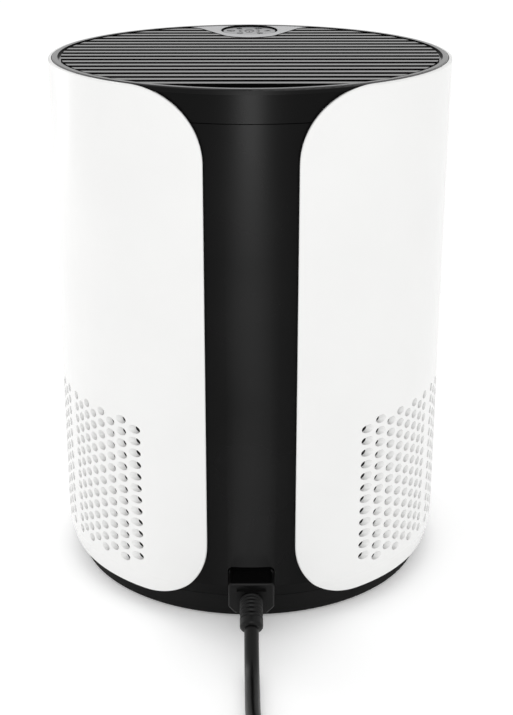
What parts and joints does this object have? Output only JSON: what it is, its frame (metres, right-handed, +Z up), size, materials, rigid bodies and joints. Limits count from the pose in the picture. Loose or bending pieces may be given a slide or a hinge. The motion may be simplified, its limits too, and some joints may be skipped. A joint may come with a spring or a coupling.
{
  "type": "air purifier",
  "caption": "Round free-standing room air purifier with white perforated side shells, black core, louvred top outlet, control disc and plug-in mains lead.",
  "frame": {"origin": "on the floor, under the middle of the round body", "axes": "+Z up; -Y towards the mains inlet; +Y towards the control disc"},
  "size_m": [0.22, 0.5156, 0.2944],
  "materials": {
    "white_shell": "fine satin, moulded",
    "black_core": "semi-gloss, moulded",
    "black_base": "fine texture, moulded",
    "grille_black": "satin, moulded",
    "control_black": "satin, moulded",
    "foot_rubber": "matte",
    "lead_black": "matte PVC",
    "contact_brass": "plated",
    "inner_plastic": "moulded",
    "impeller_plastic": "moulded",
    "filter_frame": "moulded",
    "filter_paper": "folded fibre sheet",
    "carbon_cloth": "granules in a sleeve",
    "mesh_cloth": "fine mesh",
    "foam_seal": "closed-cell foam",
    "motor_steel": "zinc plated",
    "shaft_steel": "ground",
    "stator_steel": "stacked sheets",
    "copper_winding": "enamelled wire",
    "magnet": "sintered",
    "circuit_board": "solder mask",
    "part_black": "moulded",
    "sink_aluminium": "extruded",
    "wire_sleeve": "PVC",
    "tab_ribbon": "woven",
    "tie_strap": "hook and loop"
  },
  "bodies": {
    "housing": {"outer_shell_left": "white_shell", "outer_shell_right": "white_shell", "main_housing": "black_core", "top_cap": "black_core", "inlet_socket": "black_base", "inlet_pins": "contact_brass", "outlet_grille": "grille_black", "control_bezel": "control_black", "control_tray": "inner_plastic", "board_support": "inner_plastic", "control_board": "circuit_board", "tact_switch": "part_black", "filter_bottom_cap": "filter_frame", "filter_top_ring": "filter_frame", "filter_gasket": "foam_seal", "prefilter_mesh": "mesh_cloth", "carbon_sleeve": "carbon_cloth", "filter_media": "filter_paper", "filter_pull_tab": "tab_ribbon", "fan_deck": "inner_plastic", "motor_can": "motor_steel", "motor_end_plate": "motor_steel", "bearing_lower": "shaft_steel", "bearing_upper": "shaft_steel", "stator_core": "stator_steel", "stator_windings": "copper_winding", "diffuser": "inner_plastic", "motor_cover": "inner_plastic", "housing_screws": "shaft_steel", "power_board": "circuit_board", "transformer": "part_black", "filter_capacitor": "part_black", "heat_sink": "sink_aluminium", "inlet_wires": "wire_sleeve", "interlock_switch": "part_black"},
    "fan": {"impeller": "impeller_plastic", "impeller_nut": "shaft_steel", "motor_shaft": "shaft_steel", "rotor_magnet": "magnet"},
    "base": {"base_cover": "black_base", "foot_pads": "foot_rubber"},
    "button": {"button_cap": "control_black"},
    "lead": {"connector_body": "lead_black", "strain_relief": "lead_black", "power_cord": "lead_black", "cord_coil": "lead_black", "coil_tie": "tie_strap", "cord_tail": "lead_black", "mains_plug": "lead_black", "plug_blades": "contact_brass"}
  },
  "joints": [
    {"name": "fan_spin", "type": "hinge", "parent": "housing", "child": "fan", "pos_m": [0, 0, 0.2], "axis": [0, 0, 1], "continuous": true},
    {"name": "base_twist", "type": "hinge", "parent": "housing", "child": "base", "pos_m": [0, 0, 0.01], "axis": [0, 0, 1], "range_deg": [0, 20]},
    {"name": "button_press", "type": "slide", "parent": "housing", "child": "button", "axis": [0, 0, -1], "range_m": [0, 0.001], "stiffness_N_per_m": 800},
    {"name": "lead_unplug", "type": "slide", "parent": "housing", "child": "lead", "axis": [0, -1, 0], "range_m": [0, 0.014]}
  ]
}
